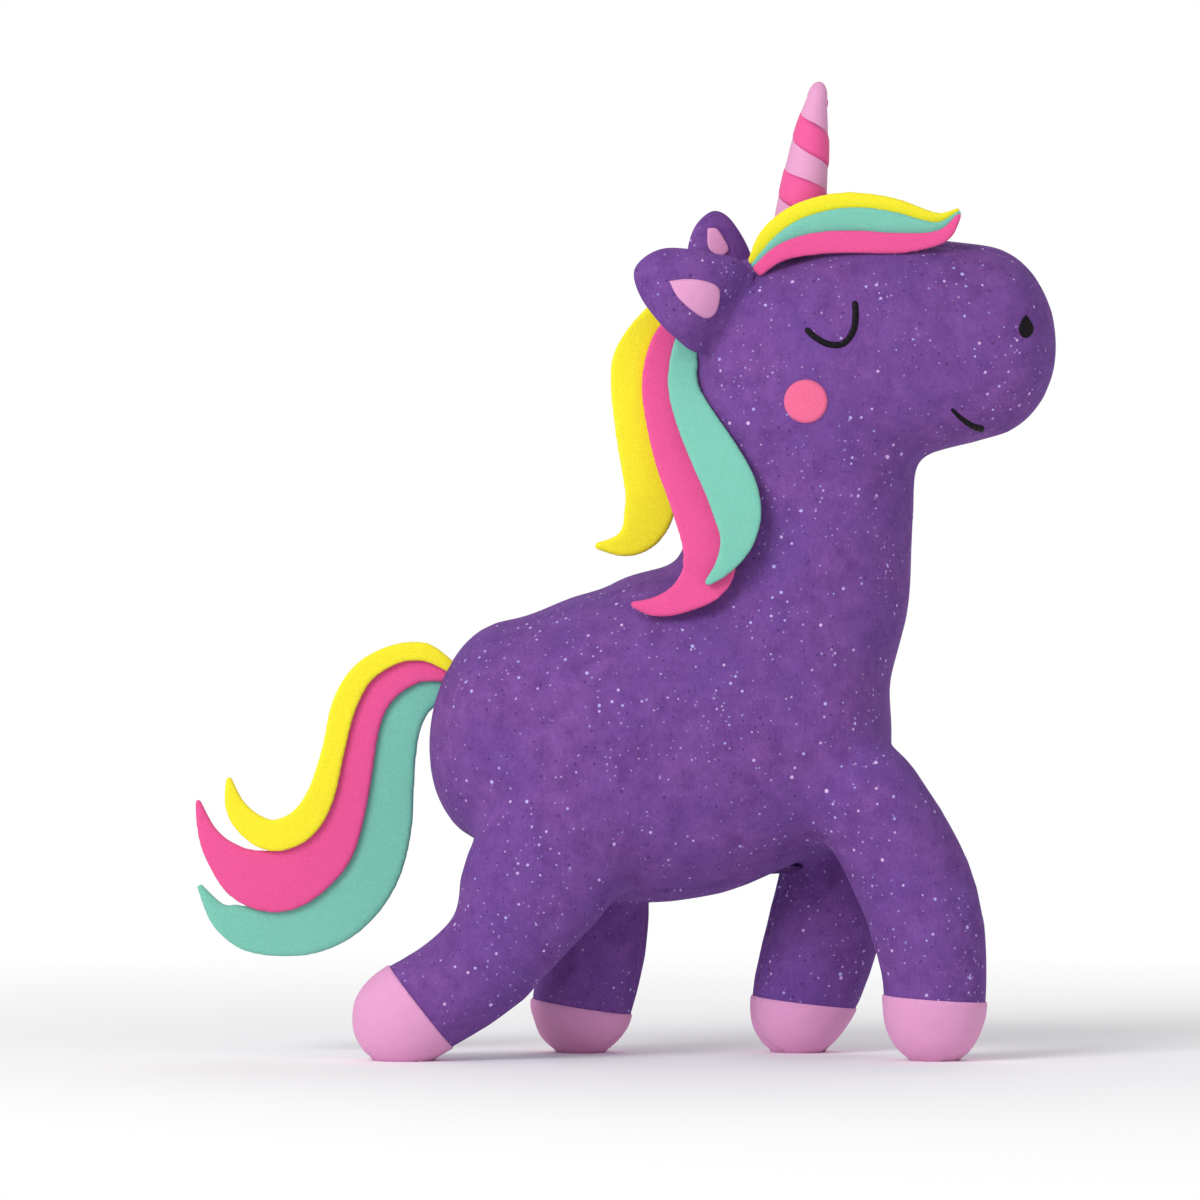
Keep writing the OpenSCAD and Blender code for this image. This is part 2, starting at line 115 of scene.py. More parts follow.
def form(stations, caps, sides=44, steps=6, square=2.2, cap_rings=9):
    """Vertices (mm) and faces of a closed form swept through its stations, with rounded ends."""
    line = smooth_line(stations, steps)
    mid = line[:, :3]
    along = unit(np.vstack([mid[1] - mid[0], mid[2:] - mid[:-2], mid[-1] - mid[-2]]))
    rows = [(mid[i], along[i], line[i, 3], line[i, 4]) for i in range(len(line))]
    turns = [math.radians(90 * (j + 0.35) / cap_rings) for j in range(cap_rings)]
    for end, out in ((0, -1), (-1, 1)):
        c, d, a, b = rows[end]
        extra = [(c + out * d * caps[end] * math.sin(u), d, a * math.cos(u), b * math.cos(u))
                 for u in turns[1:]]
        rows = extra[::-1] + rows if end == 0 else rows + extra
    angle = 2 * np.pi * np.arange(sides) / sides
    ca, sa = np.cos(angle), np.sin(angle)
    ca, sa = np.sign(ca) * abs(ca) ** (2 / square), np.sign(sa) * abs(sa) ** (2 / square)
    verts = []
    for c, d, a, b in rows:
        up = unit(np.cross(d, (0, 1, 0)))
        side = np.cross(d, up)
        verts.append(c + np.outer(ca * a, up) + np.outer(sa * b, side))
    return np.vstack(verts), tube_faces(len(rows), sides)


def tube_faces(rows, around):
    """Faces of a closed tube whose vertices come row by row, each row going once around it."""
    faces = []
    for i in range(rows - 1):
        a, b = i * around, (i + 1) * around
        for k in range(around):
            m = (k + 1) % around
            faces.append((a + k, b + k, b + m, a + m))
    last = (rows - 1) * around
    return faces + [tuple(range(around)), tuple(last + k for k in reversed(range(around)))]


def new_object(name, verts, faces, scale=MM):
    mesh = bpy.data.meshes.new(name)
    mesh.from_pydata((np.asarray(verts) * scale).tolist(), [], [tuple(f) for f in faces])
    mesh.validate()
    obj = bpy.data.objects.new(name, mesh)
    scene.collection.objects.link(obj)
    mesh.shade_smooth()
    return obj


def joined(parts):
    verts, faces, base = [], [], 0
    for v, f in parts:
        verts.append(v)
        faces += [tuple(i + base for i in face) for face in f]
        base += len(v)
    return np.vstack(verts), faces


def coords(obj):
    co = np.empty(len(obj.data.vertices) * 3, np.float32)
    obj.data.vertices.foreach_get("co", co)
    return co.reshape(-1, 3).astype(float)


def set_coords(obj, co):
    obj.data.vertices.foreach_set("co", np.asarray(co, np.float32).ravel())
    obj.data.update()


def apply_modifier(obj, kind, **settings):
    mod = obj.modifiers.new(kind, kind)
    for key, value in settings.items():
        setattr(mod, key, value)
    deps = bpy.context.evaluated_depsgraph_get()
    deps.update()
    made = bpy.data.meshes.new_from_object(obj.evaluated_get(deps))
    obj.modifiers.clear()
    old = obj.data
    obj.data = made
    bpy.data.meshes.remove(old)
    obj.data.shade_smooth()
    return obj


def cleaned(obj, apart):
    """Joins vertices that are nearer than apart, in metres, and turns every face outward."""
    bm = bmesh.new()
    bm.from_mesh(obj.data)
    bmesh.ops.remove_doubles(bm, verts=list(bm.verts), dist=apart)
    bmesh.ops.recalc_face_normals(bm, faces=list(bm.faces))
    bm.to_mesh(obj.data)
    bm.free()
    obj.data.shade_smooth()


def edges_of(obj):
    e = np.empty(len(obj.data.edges) * 2, np.int32)
    obj.data.edges.foreach_get("vertices", e)
    return e.reshape(-1, 2)


def relax(co, edges, rounds, factor=0.5, hold=None):
    """Laplacian smoothing; hold is a share from 0, free, to 1, fixed, for each vertex."""
    n = len(co)
    count = np.maximum(np.bincount(edges.ravel(), minlength=n), 1)[:, None]
    free = factor if hold is None else factor * (1 - hold)[:, None]
    for _ in range(rounds):
        total = np.stack([np.bincount(edges[:, 0], co[edges[:, 1], k], n)
                          + np.bincount(edges[:, 1], co[edges[:, 0], k], n) for k in range(3)], 1)
        co = co + free * (total / count - co)
    return co


def normals_of(obj):
    n = np.empty(len(obj.data.vertices) * 3, np.float32)
    obj.data.vertex_normals.foreach_get("vector", n)
    return n.reshape(-1, 3).astype(float)


def puff(obj, pins, most, frames=20):
    """Blows the closed fabric up by cloth simulation, no further than most; the pins are its seams."""
    start = coords(obj)
    group = obj.vertex_groups.new(name="seams")
    group.add([int(i) for i in np.flatnonzero(pins)], 1.0, "REPLACE")
    mod = obj.modifiers.new("Cloth", "CLOTH")
    mod.settings.use_pressure = True
    mod.settings.uniform_pressure_force = FILL_PRESSURE
    mod.settings.effector_weights.gravity = 0
    mod.settings.vertex_group_mass = "seams"
    mod.settings.mass = 0.2
    mod.settings.quality = 4
    mod.collision_settings.use_collision = False
    for f in range(1, frames + 1):
        scene.frame_set(f)
    deps = bpy.context.evaluated_depsgraph_get()
    end = np.empty(len(obj.data.vertices) * 3, np.float32)
    obj.evaluated_get(deps).data.vertices.foreach_get("co", end)
    move = end.reshape(-1, 3) - start
    size = np.linalg.norm(move, axis=1, keepdims=True)
    move *= np.minimum(1, most / np.maximum(size, 1e-9))
    obj.modifiers.clear()
    obj.vertex_groups.clear()
    scene.frame_set(1)
    set_coords(obj, start + move)


def remember_rest(obj):
    """Keeps where each vertex is at rest, so that the fabric's pattern stays on it as it bends."""
    layer = obj.data.attributes.get("rest") or obj.data.attributes.new("rest", "FLOAT_VECTOR", "POINT")
    layer.data.foreach_set("vector", coords(obj).astype(np.float32).ravel())


def tree_of(obj):
    return BVHTree.FromPolygons(coords(obj).tolist(), [tuple(p.vertices) for p in obj.data.polygons])


def plane_value(co, point, normal):
    """How far (mm) points lie past a plane that is square to the XZ plane."""
    return (co[:, 0] / MM - point[0]) * normal[0] + (co[:, 2] / MM - point[1]) * normal[1]


# ---------------------------------------------------------------- the sewn skin, made whole and then cut up
def leg_stations(leg):
    return [(x, leg["side"] * LEG_Y, z, r, HIP_HALF_W if i == 0 else LEG_HALF_W)
            for i, (x, z, r) in enumerate(leg["stations"])]


def whole_skin():
    parts = [form(TORSO, (22, 22)), form(NECK, (14, 14)), form(HEAD, (14, 23))]
    parts += [form(leg_stations(leg), (leg["stations"][0][2], 16.6), sides=36) for leg in LEGS.values()]
    skin = new_object("skin", *joined(parts))
    apply_modifier(skin, "REMESH", mode="VOXEL", voxel_size=SKIN_VOXEL * MM)
    co = relax(coords(skin), edges_of(skin), 9)
    set_coords(skin, co)
    set_coords(skin, co + normals_of(skin) * SKIN_SWELL * MM)
    return skin


def near(value, centre, width):
    return np.exp(-((value - centre) / width) ** 2)


def seam_share(co):
    """1 on a seam and 0 away from it: the middle seam and the edges of the belly and forehead gussets."""
    x, y, z = (co / MM).T
    belly = (z < 88) & (x > -62) & (x < 84)
    forehead = z > 214
    middle = near(y, 0, SEAM_W) * ~belly * ~((z > 216) & (x < 122))
    gusset = near(abs(y), 17, SEAM_W) * (z < 66) * (x > -6) * (x < 48) * belly
    brow = near(abs(y), 9 - 4 * np.clip((x - 100) / 30, 0, 1), SEAM_W) * forehead * (x < 124)
    return np.clip(middle + gusset + brow, 0, 1)


def from_segment(x, z, start, end):
    """How far points lie from a line between two x, z points, and how far along it, from 0 to 1."""
    (ax, az), (bx, bz) = start, end
    reach = (bx - ax) ** 2 + (bz - az) ** 2
    t = np.clip(((x - ax) * (bx - ax) + (z - az) * (bz - az)) / reach, 0, 1)
    return np.hypot(x - ax - t * (bx - ax), z - az - t * (bz - az)), t


def hip_crease(co):
    """1 in the fold where a leg meets the belly."""
    x, y, z = (co / MM).T
    fold = np.zeros(len(co))
    for start, end, side in HIP_FOLDS:
        away, _ = from_segment(x, z, start, end)
        fold = np.maximum(fold, near(away, 0, CREASE_W) * (side * y > 4))
    return fold


def finished_skin():
    skin = whole_skin()
    co = coords(skin)
    pins = (seam_share(co) > 0.55) | (co[:, 2] < 3 * MM) | (hip_crease(co) > 0.85)
    puff(skin, pins, SKIN_PUFF * MM)
    apply_modifier(skin, "SUBSURF", levels=1, render_levels=1)
    co = relax(coords(skin), edges_of(skin), 2)
    set_coords(skin, co)
    n = normals_of(skin)
    # A seam is a narrow groove that puckers every few stitches.
    along = co[:, 0] + co[:, 2]
    pucker = 0.85 + 0.3 * np.sin(along / MM * 2 * math.pi / STITCH_STEP)
    depth = SEAM_DEPTH * seam_share(co) * pucker + CREASE_DEPTH * hip_crease(co)
    co = co - n * depth[:, None] * MM
    # Loose fill leaves the cloth a little uneven.
    x, y, z = (co / MM).T
    lumps = np.sin(x / 13 + 1.3 * np.sin(z / 17)) * np.sin(z / 11 + np.sin(y / 9)) * np.sin(y / 12 + 0.6)
    co = co + n * (LUMP * lumps)[:, None] * MM
    co[:, 2] = np.where(co[:, 2] < SKIN_LOWEST * MM, SKIN_LOWEST * MM, co[:, 2])
    set_coords(skin, co)
    return skin


def leg_region(co, leg):
    """The skin that lies around a leg's middle line, on the leg's own side of the toy."""
    x, y, z = (co / MM).T
    around = np.zeros(len(co), bool)
    for (ax, az, ar), (bx, bz, br) in zip(leg["stations"], leg["stations"][1:]):
        away, t = from_segment(x, z, (ax, az), (bx, bz))
        around |= away < ar + (br - ar) * t + LEG_REACH
    return around & (leg["side"] * y > 2)


def hoof_normal(leg):
    slope = math.radians(leg["hoof"][2])
    return (math.sin(slope), -math.cos(slope))


def bisected(skin):
    """Cuts edges into the skin along the neck, the hips and the hoof lines, without opening it."""
    bm = bmesh.new()
    bm.from_mesh(skin.data)

    def cut(point, normal, inside):
        centres = np.array([f.calc_center_median() for f in bm.faces])
        keep = np.flatnonzero(inside(centres))
        bm.faces.ensure_lookup_table()
        faces = [bm.faces[int(i)] for i in keep]
        geom = set(faces)
        for f in faces:
            geom.update(f.edges)
            geom.update(f.verts)
        bmesh.ops.bisect_plane(bm, geom=list(geom), dist=1e-6,
                               plane_co=Vector((point[0], 0, point[1])) * MM,
                               plane_no=Vector((normal[0], 0, normal[1])))

    cut((0, NECK_CUT), (0, 1), lambda c: abs(c[:, 2] / MM - NECK_CUT) < CUT_BAND)
    for leg in LEGS.values():
        hip = (leg["cut"], leg["axis"], (0,))
        hoof = (leg["hoof"], hoof_normal(leg), (0, HOOF_ROLL, HOOF_UNDERLAP))
        for point, normal, steps in (hip, hoof):
            for step in steps:
                at = (point[0] + normal[0] * step, point[1] + normal[1] * step)
                cut(at, normal, lambda c: leg_region(c, leg) & (abs(plane_value(c, at, normal)) < CUT_BAND))
    bm.to_mesh(skin.data)
    bm.free()
    skin.data.update()


def part_of(faces, chosen):
    """The chosen faces of the skin with their vertices counted anew, and which vertices those are."""
    part = [faces[i] for i in np.flatnonzero(chosen)]
    used = np.unique(np.concatenate([np.asarray(f) for f in part]))
    new_index = {int(v): i for i, v in enumerate(used)}
    return [tuple(new_index[int(v)] for v in f) for f in part], used


def close_rims(bm):
    """Closes each opening with a ring of faces and a fan."""
    rim = [e for e in bm.edges if len(e.link_faces) == 1]
    for loop in loops_of(rim):
        middle = sum((v.co for v in loop), Vector()) / len(loop)
        centre = bm.verts.new(middle)
        ring = [bm.verts.new(v.co.lerp(middle, 0.5)) for v in loop]
        for a in range(len(loop)):
            b = (a + 1) % len(loop)
            bm.faces.new((loop[a], loop[b], ring[b], ring[a]))
            bm.faces.new((ring[a], ring[b], centre))


def keep_shading(mesh, normals, skin_count):
    """Gives the first skin_count faces the whole skin's normals, and the closing faces their own."""
    loop_vertex = np.empty(len(mesh.loops), np.int32)
    mesh.loops.foreach_get("vertex_index", loop_vertex)
    loop_face = np.repeat(np.arange(len(mesh.polygons)), [p.loop_total for p in mesh.polygons])
    face_normal = np.array([p.normal for p in mesh.polygons])
    cap = (loop_face >= skin_count)[:, None]
    custom = np.where(cap, face_normal[loop_face], normals[np.minimum(loop_vertex, len(normals) - 1)])
    mesh.normals_split_custom_set(custom.tolist())


def piece_mesh(name, co, faces, normals, chosen):
    """A piece of the skin, closed where it was cut, that keeps the whole skin's shading along the cut."""
    part, used = part_of(faces, chosen)
    bm = bmesh.new()
    verts = [bm.verts.new(c) for c in co[used]]
    for f in part:
        bm.faces.new([verts[i] for i in f])
    bm.verts.index_update()
    skin_count = len(bm.faces)
    close_rims(bm)
    bmesh.ops.recalc_face_normals(bm, faces=list(bm.faces))
    mesh = bpy.data.meshes.new(name)
    bm.to_mesh(mesh)
    bm.free()
    obj = bpy.data.objects.new(name, mesh)
    scene.collection.objects.link(obj)
    mesh.shade_smooth()
    keep_shading(mesh, normals[used], skin_count)
    return obj


def loops_of(rim):
    """The closed rings of vertices that open edges make."""
    links = {}
    for e in rim:
        for a, b in ((e.verts[0], e.verts[1]), (e.verts[1], e.verts[0])):
            links.setdefault(a, []).append(b)
    seen, rings = set(), []
    for start in links:
        if start in seen:
            continue
        ring, at, before = [], start, None
        while at not in seen:
            seen.add(at)
            ring.append(at)
            onward = [v for v in links[at] if v is not before]
            before, at = at, onward[0]
        if len(ring) > 2:
            rings.append(ring)
    return rings


def hoof_mesh(name, co, faces, normals, chosen, leg):
    """A felt cap over the end of a leg, with a soft rolled edge and a flat sole."""
    part, used = part_of(faces, chosen)
    p, n = co[used], normals[used]
    past = plane_value(p, leg["hoof"][:2], hoof_normal(leg))
    rise = 0.3 + 0.3 * np.clip(past / HOOF_ROLL, 0, 1)
    outer = p + n * rise[:, None] * MM
    inner = p - n * 0.25 * MM
    sole = outer[:, 2] < SOLE_DEPTH * MM
    outer[:, 2] = np.where(sole, 0, outer[:, 2])
    inner[:, 2] = np.maximum(inner[:, 2], 1.0 * MM)
    count = len(p)
    edges = dict.fromkeys((a, b) for f in part for a, b in zip(f, f[1:] + f[:1]))
    rim = [(a, b) for a, b in edges if (b, a) not in edges]
    all_faces = part + [tuple(i + count for i in reversed(f)) for f in part]
    all_faces += [(b, a, a + count, b + count) for a, b in rim]
    return new_object(name, np.vstack([outer, inner]), all_faces, 1)


def skin_pieces():
    """The skin's pieces by name, and the whole skin as a tree to lay things on."""
    skin = finished_skin()
    bisected(skin)
    co, normals = coords(skin), normals_of(skin)
    faces = [tuple(p.vertices) for p in skin.data.polygons]
    centres = np.array([p.center for p in skin.data.polygons])
    head = centres[:, 2] > NECK_CUT * MM
    rest = ~head
    made = {"head_skin": piece_mesh("head_skin", co, faces, normals, head)}
    for name, leg in LEGS.items():
        limb = leg_region(centres, leg) & (plane_value(centres, leg["cut"], leg["axis"]) > 0)
        past_hoof = plane_value(centres, leg["hoof"][:2], hoof_normal(leg))
        rest &= ~limb
        cloth, felt_cap = limb & (past_hoof < HOOF_UNDERLAP), limb & (past_hoof > 0)
        made["leg_" + name] = piece_mesh("leg_skin_" + name, co, faces, normals, cloth)
        made["hoof_" + name] = hoof_mesh("hoof_cap_" + name, co, faces, normals, felt_cap, leg)
    made["torso_skin"] = piece_mesh("torso_skin", co, faces, normals, rest)
    tree = BVHTree.FromPolygons(co.tolist(), faces)
    bpy.data.objects.remove(skin)
    return made, tree


# ---------------------------------------------------------------- materials
def srgb(*levels):
    """A colour from its red, green and blue levels, 0 to 255."""
    return tuple(((c / 255 + 0.055) / 1.055) ** 2.4 if c > 10 else c / 255 / 12.92 for c in levels) + (1.0,)


def scaled(colour, share):
    return tuple(min(1, c * share) for c in colour[:3]) + (1.0,)


class Look:
    """A node material whose pattern stays on the cloth: it reads where each point was at rest."""

    def __init__(self, name):
        self.mat = bpy.data.materials.new(name)
        self.mat.use_nodes = True
        self.tree = self.mat.node_tree
        self.shader = self.tree.nodes["Principled BSDF"]
        self.place = self.node("ShaderNodeAttribute", attribute_name="rest").outputs["Vector"]

    def feed(self, socket, value):
        if isinstance(value, bpy.types.NodeSocket):
            self.tree.links.new(value, socket)
        else:
            socket.default_value = value

    def node(self, kind, **values):
        made = self.tree.nodes.new(kind)
        for key, value in values.items():
            if key in made.inputs:
                self.feed(made.inputs[key], value)
            else:
                setattr(made, key, value)
        return made

    def math(self, operation, *values):
        made = self.node("ShaderNodeMath", operation=operation)
        for socket, value in zip(made.inputs, values):
            self.feed(socket, value)
        return made.outputs[0]

    def ramp(self, value, low, high, bottom=0.0, top=1.0):
        """Turns a value into bottom at low and top at high."""
        made = self.node("ShaderNodeMapRange", **{"Value": value, "From Min": low, "From Max": high,
                                                  "To Min": bottom, "To Max": top})
        return made.outputs["Result"]

    def mix(self, share, a, b, blend="MIX"):
        made = self.node("ShaderNodeMix", data_type="RGBA", blend_type=blend)
        for socket, value in zip([s for s in made.inputs if s.enabled], (share, a, b)):
            self.feed(socket, value)
        return [s for s in made.outputs if s.enabled][0]

    def stretched(self, scale):
        made = self.node("ShaderNodeVectorMath", operation="MULTIPLY")
        self.feed(made.inputs[0], self.place)
        self.feed(made.inputs[1], scale)
        return made.outputs[0]

    def noise(self, scale, detail=2.0, roughness=0.5, place=None):
        made = self.node("ShaderNodeTexNoise", Vector=place or self.place, Scale=scale, Detail=detail,
                         Roughness=roughness)
        return made.outputs["Fac"]

    def specks(self, scale, size, share):
        """Round specks: 1 inside one, and three random numbers for each."""
        made = self.node("ShaderNodeTexVoronoi", Vector=self.place, Scale=scale)
        random = self.node("ShaderNodeSeparateColor", Color=made.outputs["Color"]).outputs
        radius = self.ramp(random[1], 0, 1, size * 0.35, size)
        inside = self.ramp(self.math("SUBTRACT", radius, made.outputs["Distance"]), 0, size * 0.25)
        kept = self.math("LESS_THAN", random[0], share)
        return self.math("MULTIPLY", inside, kept), random

    def bump(self, height, strength, distance):
        made = self.node("ShaderNodeBump", Height=height, Strength=strength, Distance=distance)
        self.feed(self.shader.inputs["Normal"], made.outputs[0])

    def finish(self, **values):
        for key, value in values.items():
            self.feed(self.shader.inputs[key.replace("_", " ")], value)
        return self.mat


PURPLE_DARK, PURPLE_LIGHT, PURPLE_BLUE = srgb(102, 60, 132), srgb(129, 82, 157), srgb(100, 66, 144)
FLECK = srgb(66, 36, 92)
FLECKS = ((380, 0.22), (560, 0.24))         # cells in a metre, and a fleck's radius in cells
FLECK_SHARE, FLECK_STRENGTH = 0.5, 0.6
# Pale colours of the glitter specks: the flakes are real, and their pale colour is a painted glint.
GLITTER_GLINT_BLUE, GLITTER_GLINT_PINK = srgb(176, 178, 240), srgb(226, 190, 240)
GLITTER = ((210, 0.15, 0.85), (330, 0.19, 0.8), (560, 0.24, 0.5))       # the same, and the strength of the specks' painted glint
PLUSH_SHEEN = srgb(170, 130, 205)


def glitter_plush():
    """Short purple pile with dark flecks, and specks of glitter that gather in drifts; each speck is a real
    flake whose pale colour is a painted glint.
    """
    look = Look("glitter_plush")
    broad = look.noise(42, 2)
    mottle = look.noise(170, 4, 0.62)
    pile = look.noise(1500, 3, 0.7)
    nap = look.noise(1, 2, 0.6, look.stretched((1300, 1300, 380)))
    base = look.mix(look.ramp(mottle, 0.3, 0.72), PURPLE_DARK, PURPLE_LIGHT)
    base = look.mix(look.ramp(broad, 0.36, 0.66, 0.0, 0.5), base, PURPLE_BLUE)
    grain = look.math("ADD", look.ramp(pile, 0.25, 0.75, 0.80, 1.14), look.ramp(nap, 0.3, 0.7, -0.07, 0.07))
    shade = look.node("ShaderNodeCombineColor", Red=grain, Green=grain, Blue=grain)
    base = look.mix(1.0, base, shade.outputs[0], "MULTIPLY")
    for scale, size in FLECKS:
        fleck, _ = look.specks(scale, size, FLECK_SHARE)
        base = look.mix(look.math("MULTIPLY", fleck, FLECK_STRENGTH), base, FLECK)
    drift = look.ramp(look.noise(48, 2, 0.6), 0.36, 0.62, 0.12, 0.95)
    shine = 0.0
    # Each glitter speck is a real flake; its pale blue or pink colour is a painted glint, with lower
    # roughness.
    for scale, size, strength in GLITTER:
        speck, random = look.specks(scale, size, drift)
        glint_tint = look.mix(random[2], GLITTER_GLINT_BLUE, GLITTER_GLINT_PINK)
        speck = look.math("MULTIPLY", speck, look.ramp(random[1], 0, 1, 0.55 * strength, strength))
        base = look.mix(speck, base, glint_tint)
        shine = look.math("MAXIMUM", shine, speck)
    height = look.math("MULTIPLY_ADD", pile, 0.6, look.math("MULTIPLY_ADD", nap, 0.35, mottle))
    look.bump(height, 0.5, 0.0006)
    return look.finish(Base_Color=base, Roughness=look.math("MULTIPLY_ADD", shine, -0.5, 0.9),
                       Sheen_Weight=0.12, Sheen_Roughness=0.4, Sheen_Tint=PLUSH_SHEEN,
                       Specular_IOR_Level=0.18)


def felt(name, colour, fuzz=0.10, sheen=0.12):
    """Pressed wool: short fibres that lie every way, and slightly cloudy dye."""
    look = Look(name)
    fibre = look.noise(1900, 4, 0.75)
    strand_noise = look.noise(1, 3, 0.7, look.stretched((700, 700, 2300)))
    cloud = look.noise(150, 3, 0.6)
    base = look.mix(look.ramp(fibre, 0.3, 0.72), scaled(colour, 1 - 2 * fuzz), scaled(colour, 1 + fuzz))
    base = look.mix(look.ramp(strand_noise, 0.35, 0.65, 0.0, 0.35), base, scaled(colour, 1 - fuzz))
    base = look.mix(look.ramp(cloud, 0.35, 0.7, 0.0, 0.3), base, colour)
    look.bump(look.math("MULTIPLY_ADD", cloud, 0.5, look.math("ADD", fibre, strand_noise)), 0.45, 0.00035)
    return look.finish(Base_Color=base, Roughness=look.math("MULTIPLY_ADD", fibre, 0.12, 0.84),
                       Sheen_Weight=sheen, Sheen_Roughness=0.5, Specular_IOR_Level=0.12)


def thread(name, colour):
    """Satin stitch: fine threads laid side by side."""
    look = Look(name)
    wave = look.node("ShaderNodeTexWave", Vector=look.place, Scale=260, Distortion=0.4, Detail=1.0)
    wave.bands_direction = "DIAGONAL"
    base = look.mix(wave.outputs["Fac"], scaled(colour, 0.5), colour)
    look.bump(wave.outputs["Fac"], 0.6, 0.0002)
    return look.finish(Base_Color=base, Roughness=look.math("MULTIPLY_ADD", wave.outputs["Fac"], -0.1, 0.6),
                       Specular_IOR_Level=0.15)


def ribbon_cloth(name, colour):
    """Close-woven ribbon with a soft gloss."""
    look = Look(name)
    across = look.node("ShaderNodeTexWave", Vector=look.place, Scale=560, Distortion=0.3, bands_direction="Z")
    along = look.node("ShaderNodeTexWave", Vector=look.place, Scale=560, Distortion=0.3, bands_direction="X")
    weave = look.math("MULTIPLY", across.outputs["Fac"], along.outputs["Fac"])
    cloud = look.noise(200, 2)
    base = look.mix(look.ramp(weave, 0, 0.6), scaled(colour, 0.86), scaled(colour, 1.05))
    base = look.mix(look.ramp(cloud, 0.4, 0.7, 0.0, 0.3), base, colour)
    look.bump(weave, 0.35, 0.0002)
    return look.finish(Base_Color=base, Roughness=look.math("MULTIPLY_ADD", weave, -0.1, 0.62),
                       Sheen_Weight=0.08, Specular_IOR_Level=0.25)


def paint(obj, mat):
    obj.data.materials.clear()
    obj.data.materials.append(mat)


# ---------------------------------------------------------------- ears
def pillow(outline, depth, thick, rings=14, steps=8):
    """A flat padded shape: two domes over a closed outline, given as x, z points in millimetres.
    depth(x, z) is the y of its middle, and thick its greatest half thickness."""
    edge = smooth_line([*outline, outline[0]], steps)[:-1]
    centre = edge.mean(0)
    verts, faces = [], []
    n = len(edge)
    levels = [(s, 1) for s in np.sin(np.linspace(0.12, 1, rings) * math.pi / 2)]
    levels += [(s, -1) for s, _ in levels[-2::-1]]
    for s, side in levels:
        for x, z in centre + s * (edge - centre):
            verts.append((x, depth(x, z) - side * thick * (1 - s**2) ** 0.55, z))
    for i in range(len(levels) - 1):
        for k in range(n):
            faces.append((i * n + k, i * n + (k + 1) % n, (i + 1) * n + (k + 1) % n, (i + 1) * n + k))
    faces += [tuple(reversed(range(n))), tuple((len(levels) - 1) * n + k for k in range(n))]
    return np.array(verts), faces


EAR_RIGHT = [(38, 235), (33, 239.2), (26, 240.9), (19, 242.2), (11, 242.4), (5, 239.6), (2, 235), (4, 228),
             (9, 221), (14, 216), (20, 211.5), (27, 211), (35, 219)]
EAR_LEFT = [(18.2, 233), (18.1, 240), (19.4, 246.5), (22, 251), (26, 253.8), (30, 252.6), (33.8, 248),
            (37.2, 241.5), (39, 234), (36, 228), (28, 226), (20, 227.5)]
LINING_RIGHT = [(12.6, 232.6), (16.8, 233.2), (22, 232.9), (27, 231), (27.6, 227), (26.2, 222.8),
                (23.2, 221.6), (19.2, 224), (15, 228)]
LINING_LEFT = [(24.4, 248.6), (27.2, 248.4), (29.4, 245.4), (30.8, 242.2), (29.2, 240.4), (26.4, 241),
               (24.5, 243.4)]


def right_ear_depth(x, z):
    """The ear lies 25.6 mm out, and its front edge runs into the head."""
    toward_head = np.clip((x - (z - 226) * 0.55 - 14) / 18, 0, 1)
    return -25.6 + 9.5 * toward_head**2


def left_ear_depth(x, z):
    """The ear leans in to its tip, and its foot runs into the head."""
    toward_head = np.clip((239 - z) / 12, 0, 1)
    return 25 - 4.5 * np.clip((z - 228) / 21, 0, 1) - 8 * toward_head**2


EARS = {
    "right": dict(outline=EAR_RIGHT, lining=LINING_RIGHT, depth=right_ear_depth, thick=4.2,
                  base=(31, -21, 226), free=(20, -24, 230)),
    "left": dict(outline=EAR_LEFT, lining=LINING_LEFT, depth=left_ear_depth, thick=3.9,
                 base=(28, 17, 231), free=(27.5, 22, 242)),
}


def ears(plush, lining_felt):
    for name, shape in EARS.items():
        depth = shape["depth"]
        ear = new_object("ear_" + name, *pillow(shape["outline"], depth, shape["thick"]))
        co = coords(ear)
        middle = np.array([depth(x, z) for x, z in co[:, [0, 2]] / MM])
        edge = abs(co[:, 1] / MM - middle) < 0.25 * shape["thick"]
        puff(ear, edge, EAR_PUFF * MM)
        apply_modifier(ear, "SUBSURF", levels=1, render_levels=1)
        remember_rest(ear)
        lining = patch("ear_lining_felt_" + name, shape["lining"], tree_of(ear), -1, 0.8, 0.12)
        paint(ear, plush)
        paint(lining, lining_felt)
        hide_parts("ear_cover_" + name, "ear_padding_" + name)
        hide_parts("ear_lining_" + name)
        for piece in (ear, lining):
            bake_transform(piece)


def patch(name, outline, tree, side, thick, sunk, steps=6, rings=9, round_edge=0.75):
    """A piece of felt or stitching laid on a surface, in an outline of x, z points, seen from one side."""
    edge = smooth_line([*outline, outline[0]], steps)[:-1]
    centre = edge.mean(0)
    n = len(edge)
    size = np.linalg.norm(edge - centre, axis=1).mean()
    scales = np.array([0.001] + list(np.linspace(0.12, 1, rings) ** 0.8))
    edge_share = round_edge / size
    lift = thick * np.clip(1 - np.maximum(0, (scales - 1 + edge_share) / edge_share) ** 2, 0, 1) ** 0.5
    top, bottom = [], []
    for s, h in zip(scales, lift):
        for x, z in centre + s * (edge - centre):
            spot, normal = on_surface(tree, x, z, side)
            top.append(spot + normal * max(h, 0.02) * MM)
            bottom.append(spot - normal * sunk * MM)
    faces = []
    levels = len(scales)
    total = levels * n
    for i in range(levels - 1):
        for k in range(n):
            a, b, c, d = i * n + k, i * n + (k + 1) % n, (i + 1) * n + (k + 1) % n, (i + 1) * n + k
            faces += [(a, b, c, d), (total + d, total + c, total + b, total + a)]
    for k in range(n):
        a, b = (levels - 1) * n + k, (levels - 1) * n + (k + 1) % n
        faces.append((a, b, total + b, total + a))
    faces += [tuple(reversed(range(n))), tuple(total + k for k in range(n))]
    obj = new_object(name, np.array(top + bottom), faces, 1)
    cleaned(obj, 1e-7)
    remember_rest(obj)
    return obj


